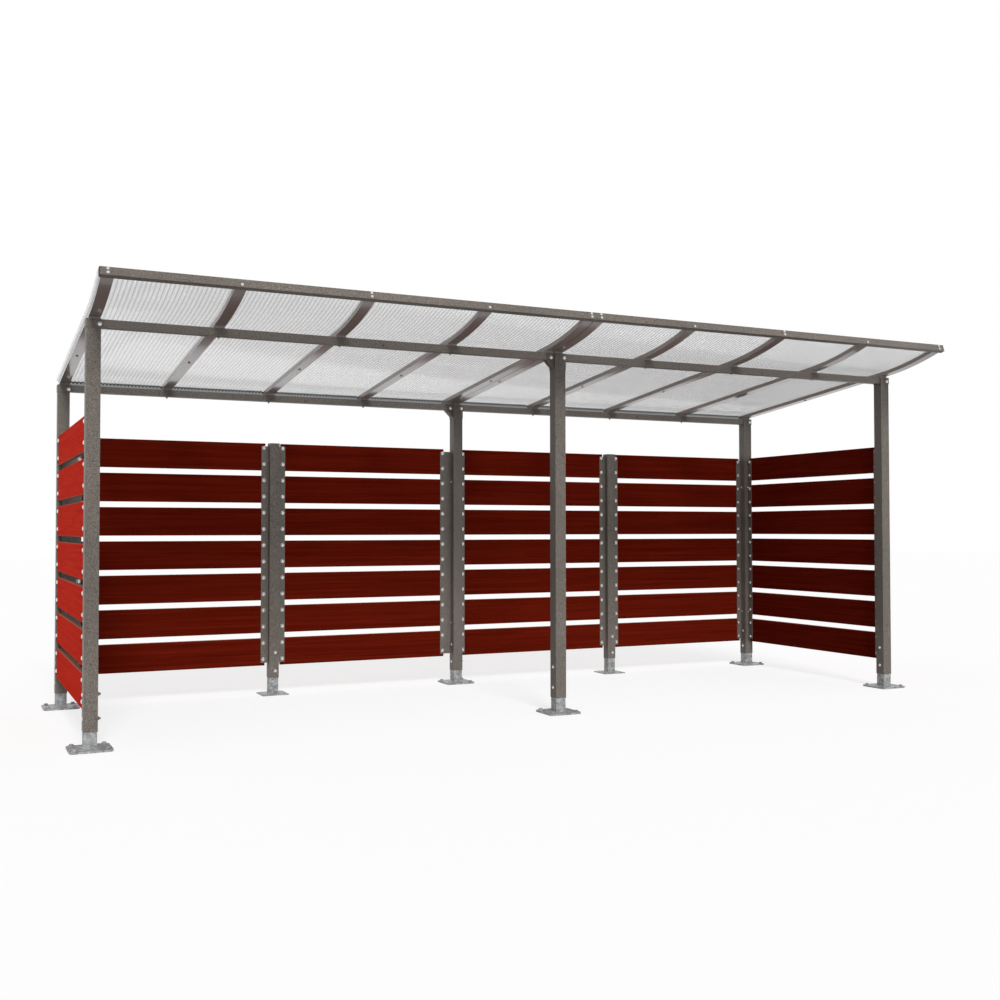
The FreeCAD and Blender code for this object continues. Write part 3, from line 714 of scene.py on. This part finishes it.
def bead(form, x, y, level, half, size):
    """A weld bead round a square stub, with the ripple of its passes."""
    steps = 14
    rings = [[], []]
    for side in range(4):
        turn = Matrix.Rotation(math.pi / 2 * side, 3, "Z")
        for step in range(steps):
            slide = -1 + 2 * step / steps
            swell = size * (1 + 0.14 * math.cos(math.pi * (step + side * steps)))
            top = turn @ Vector((half * slide, -half, 0))
            foot = turn @ Vector(((half + swell) * slide, -half - swell, 0))
            rings[0].append(form.verts.new((x + top.x, y + top.y, level + swell)))
            rings[1].append(form.verts.new((x + foot.x, y + foot.y, level)))
    count = len(rings[0])
    for step in range(count):
        after = (step + 1) % count
        form.faces.new([rings[0][step], rings[0][after], rings[1][after], rings[1][step]])


HALF_STUB = 0.0303
SHORT_HALF_STUB = 0.0283
BEAD = 0.005
SHORT_BEAD = 0.004
form = bmesh.new()
for x in (LEFT_X, MIDDLE_X, RIGHT_X):
    for y in (FRONT_Y, REAR_Y):
        bead(form, x, y, PLATE_TOP, HALF_STUB, BEAD)
for x in (SHORT_LEFT_X, SHORT_RIGHT_X):
    bead(form, x, SHORT_Y, SHORT_PLATE_TOP, SHORT_HALF_STUB, SHORT_BEAD)
keep("weld_beads", close("weld_beads", form), [ZINC], (), 60)

# Floor, light and camera.
FLOOR_REACH = 40
floor_mesh = bpy.data.meshes.new("floor")
floor_corners = [(x * FLOOR_REACH, y * FLOOR_REACH, 0) for x, y in ((-1, -1), (1, -1), (1, 1), (-1, 1))]
floor_mesh.from_pydata(floor_corners, [], [(0, 1, 2, 3)])
floor = bpy.data.objects.new("floor", floor_mesh)
bpy.context.scene.collection.objects.link(floor)
floor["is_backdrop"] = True


def seen(tree):
    """1 for rays of the camera, of gloss and through glass, and 0 for the light's own."""
    rays = tree.nodes.new("ShaderNodeLightPath")
    either = tree.nodes.new("ShaderNodeMath")
    either.operation = "MAXIMUM"
    tree.links.new(rays.outputs["Is Camera Ray"], either.inputs[0])
    tree.links.new(rays.outputs["Is Glossy Ray"], either.inputs[1])
    last = tree.nodes.new("ShaderNodeMath")
    last.operation = "MAXIMUM"
    tree.links.new(either.outputs[0], last.inputs[0])
    tree.links.new(rays.outputs["Is Transmission Ray"], last.inputs[1])
    return last.outputs[0]


pale = bpy.data.materials.new("pale_floor")
pale.use_nodes = True
tree = pale.node_tree
tree.nodes.clear()
plain_floor = tree.nodes.new("ShaderNodeBsdfDiffuse")
plain_floor.inputs["Color"].default_value = (0.3, 0.3, 0.3, 1)
glow = tree.nodes.new("ShaderNodeEmission")
glow.inputs["Strength"].default_value = 0.74
lit = tree.nodes.new("ShaderNodeAddShader")
tree.links.new(plain_floor.outputs[0], lit.inputs[0])
tree.links.new(glow.outputs[0], lit.inputs[1])
choice = tree.nodes.new("ShaderNodeMixShader")
tree.links.new(seen(tree), choice.inputs[0])
tree.links.new(plain_floor.outputs[0], choice.inputs[1])
tree.links.new(lit.outputs[0], choice.inputs[2])
output = tree.nodes.new("ShaderNodeOutputMaterial")
tree.links.new(choice.outputs[0], output.inputs["Surface"])
floor_mesh.materials.append(pale)

world = bpy.data.worlds.new("studio")
bpy.context.scene.world = world
world.use_nodes = True
tree = world.node_tree
tree.nodes.clear()
ambient = tree.nodes.new("ShaderNodeBackground")
ambient.inputs["Color"].default_value = (1, 1, 1, 1)
ambient.inputs["Strength"].default_value = 0.4
white = tree.nodes.new("ShaderNodeBackground")
white.inputs["Color"].default_value = (1, 1, 1, 1)
choice = tree.nodes.new("ShaderNodeMixShader")
tree.links.new(seen(tree), choice.inputs[0])
tree.links.new(ambient.outputs[0], choice.inputs[1])
tree.links.new(white.outputs[0], choice.inputs[2])
output = tree.nodes.new("ShaderNodeOutputWorld")
tree.links.new(choice.outputs[0], output.inputs["Surface"])

sun = bpy.data.lights.new("key", "SUN")
sun.energy = 2.2
sun.angle = math.radians(18)
key = bpy.data.objects.new("key", sun)
key.rotation_euler = Vector((-0.12, -0.79, 0.60)).to_track_quat("Z", "Y").to_euler()
# The lamp's disc isn't mirrored in the clear sheets, where it would burn out.
key.visible_glossy = False
bpy.context.scene.collection.objects.link(key)

# The camera's place and axes, found from the posts and the board ends in the photograph.
lens = bpy.data.cameras.new("camera")
lens.lens = 41.637
lens.sensor_width = 36
camera = bpy.data.objects.new("camera", lens)
right = Vector((0.89975023, -0.43640429, -0.00090717))
up = Vector((-0.01059051, -0.02391286, 0.99965795))
forward = Vector((0.43627671, 0.89943286, 0.02613735))
turn = Matrix((right, up, -forward)).transposed().to_4x4()
camera.matrix_world = Matrix.Translation((-3.155226, FRONT_Y - 5.822359, 1.040879)) @ turn
bpy.context.scene.collection.objects.link(camera)
bpy.context.scene.camera = camera

bpy.context.scene.view_settings.view_transform = "Standard"

low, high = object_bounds()
